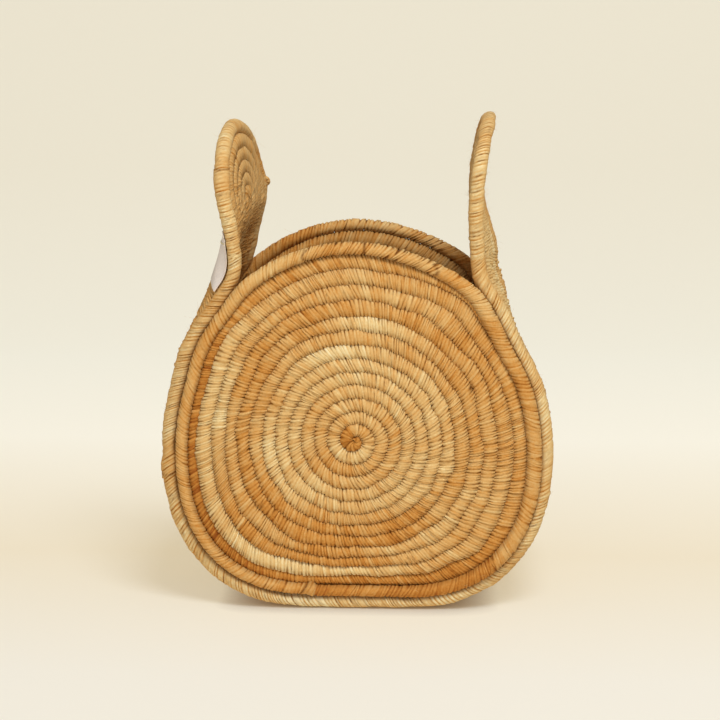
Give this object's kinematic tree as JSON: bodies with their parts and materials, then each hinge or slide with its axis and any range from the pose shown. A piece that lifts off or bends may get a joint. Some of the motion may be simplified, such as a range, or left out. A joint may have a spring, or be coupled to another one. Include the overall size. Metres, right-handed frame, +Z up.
{
  "type": "storage basket",
  "caption": "Round-faced jute basket of coiled mats: two spiral discs sewn inside a U-shaped band that rises as two flexible ear handles, open at the top.",
  "frame": {"origin": "centre of the basket's bounding box, on the floor", "axes": "+Z up, +Y from the front disc to the back disc, +X towards the right ear as seen from the front"},
  "size_m": [0.3106, 0.1446, 0.392],
  "materials": {
    "jute_rows": "matt wrapped jute strand, straw to orange-brown",
    "jute_edge": "closely wrapped jute strand, paler",
    "twine": "twisted jute twine",
    "label_cloth": "plain woven cotton tape, blank",
    "label_thread": "cotton thread"
  },
  "bodies": {
    "basket": {"front_disc_coil": "jute_rows", "front_rim_coil": "jute_edge", "back_disc_coil": "jute_rows", "back_rim_coil": "jute_edge", "side_band": "jute_rows", "front_edge_coil": "jute_edge", "back_edge_coil": "jute_edge", "front_seam_twine": "twine", "back_seam_twine": "twine", "side_label": "label_cloth", "label_thread": "label_thread"},
    "left_handle": {"left_handle_mat": "jute_rows", "left_handle_coil": "jute_edge"},
    "right_handle": {"right_handle_mat": "jute_rows", "right_handle_coil": "jute_edge"}
  },
  "joints": [
    {"name": "left_handle_flex", "type": "hinge", "parent": "basket", "child": "left_handle", "pos_m": [-0.093, 0, 0.31], "axis": [0.12, 0.9928, 0], "range_deg": [-25, 60], "stiffness_Nm_per_rad": 1.5},
    {"name": "right_handle_flex", "type": "hinge", "parent": "basket", "child": "right_handle", "pos_m": [0.09271, 0, 0.31], "axis": [0, 1, 0], "range_deg": [-60, 25], "stiffness_Nm_per_rad": 1.5}
  ]
}
